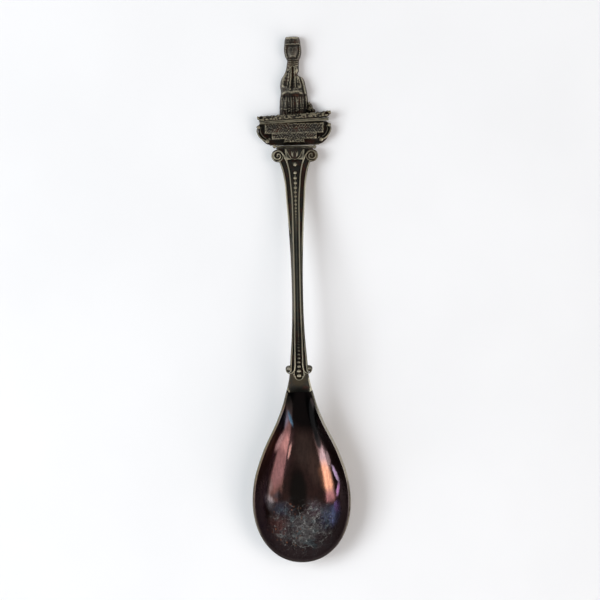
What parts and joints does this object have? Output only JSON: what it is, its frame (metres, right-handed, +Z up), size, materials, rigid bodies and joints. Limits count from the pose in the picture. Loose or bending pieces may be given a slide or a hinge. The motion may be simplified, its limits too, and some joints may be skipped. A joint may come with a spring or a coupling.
{
  "type": "souvenir spoon",
  "caption": "Small tarnished silver-plated souvenir spoon with a pear-shaped bowl, a ridged and beaded arched stem, a scroll capital and a robed figure on a cartouche finial.",
  "frame": {"origin": "middle of the spoon's length and width, at the height of the table it lies on", "axes": "+Y along the spoon from the bowl's tip to the figure's cap, +X to the right with the bowl's hollow facing up, +Z up out of the table"},
  "size_m": [0.0214, 0.115, 0.0112],
  "materials": {
    "bowl_tarnish": "polished silver plate under a dark iridescent tarnish",
    "stem_silver": "tarnished silver plate, worn bright on the raised edges",
    "ornament_silver": "tarnished silver plate, rubbed on the high points, dark in the recesses",
    "dark_silver": "cast white metal, silver plated, oxidised nearly black"
  },
  "bodies": {
    "root": {"bowl": "bowl_tarnish", "stem": "stem_silver", "stem_scroll_left": "stem_silver", "stem_scroll_right": "stem_silver", "bead_wire": "stem_silver", "boss": "stem_silver", "lower_stud_left": "stem_silver", "lower_stud_right": "stem_silver", "capital_leaf": "stem_silver", "abacus_bar": "ornament_silver", "cartouche_plate": "dark_silver", "cartouche_scroll_left": "ornament_silver", "cartouche_scroll_right": "ornament_silver", "tablet": "ornament_silver", "top_moulding": "ornament_silver", "ledge": "dark_silver", "figure": "ornament_silver", "outcrop": "dark_silver"}
  },
  "joints": []
}
